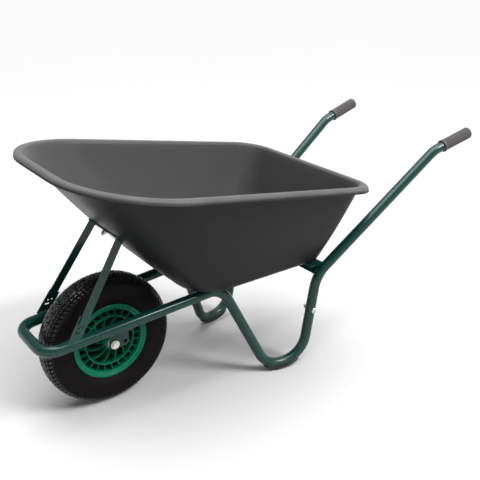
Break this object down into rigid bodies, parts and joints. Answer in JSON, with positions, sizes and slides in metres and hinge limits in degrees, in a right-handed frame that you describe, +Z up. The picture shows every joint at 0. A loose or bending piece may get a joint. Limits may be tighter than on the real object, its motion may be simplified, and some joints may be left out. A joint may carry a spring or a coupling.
{
  "type": "wheelbarrow",
  "caption": "Builder's wheelbarrow with a deep moulded tray, a bent tube frame, socketed handles with grips, and one spoked pneumatic wheel on an axle bolt.",
  "frame": {"origin": "on the ground, in the mid plane, half way along the barrow's length", "axes": "+X from the wheel to the handles, +Y to the operator's right, +Z up"},
  "size_m": [1.4719, 0.6928, 0.7474],
  "materials": {
    "green_paint": "glossy dark green powder coat",
    "zinc": "bright zinc plate",
    "grip_rubber": "soft brown-grey moulded sleeve with flutes",
    "skid_plastic": "black moulded plastic",
    "tray_plastic": "dark grey moulded polypropylene with a fine grain",
    "rim_plastic": "emerald green moulded plastic",
    "sleeve_steel": "plain drawn steel",
    "bush_nylon": "natural nylon",
    "tyre_rubber": "black rubber with a block tread",
    "tube_rubber": "butyl rubber",
    "valve_brass": "turned brass",
    "cap_plastic": "black moulded plastic"
  },
  "bodies": {
    "frame": {"frame_tube": "green_paint", "left_handle_tube": "green_paint", "right_handle_tube": "green_paint", "left_grip": "grip_rubber", "right_grip": "grip_rubber", "handle_bolts": "zinc", "handle_nuts": "zinc", "left_foot_skid": "skid_plastic", "right_foot_skid": "skid_plastic", "front_cross_member": "green_paint", "rear_cross_member": "green_paint", "left_axle_bracket": "green_paint", "right_axle_bracket": "green_paint", "left_brace_bracket": "green_paint", "right_brace_bracket": "green_paint", "left_brace_bar": "green_paint", "right_brace_bar": "green_paint", "brace_cross_strap": "green_paint", "tray": "tray_plastic", "tray_floor_bolts": "zinc", "tray_floor_washers": "zinc", "tray_floor_nuts": "zinc", "tray_front_bolt": "zinc", "tray_front_washers": "zinc", "tray_front_nut": "zinc", "axle_bolt": "zinc", "axle_washers": "zinc", "axle_nut": "zinc", "axle_spacers": "zinc"},
    "wheel": {"rim": "rim_plastic", "hub_sleeve": "sleeve_steel", "hub_bushes": "bush_nylon", "tyre": "tyre_rubber", "inner_tube": "tube_rubber", "valve_stem": "valve_brass", "valve_cap": "cap_plastic"}
  },
  "joints": [
    {"name": "wheel_spin", "type": "hinge", "parent": "frame", "child": "wheel", "pos_m": [-0.49893, 0, 0.2], "axis": [0, 1, 0], "continuous": true}
  ]
}
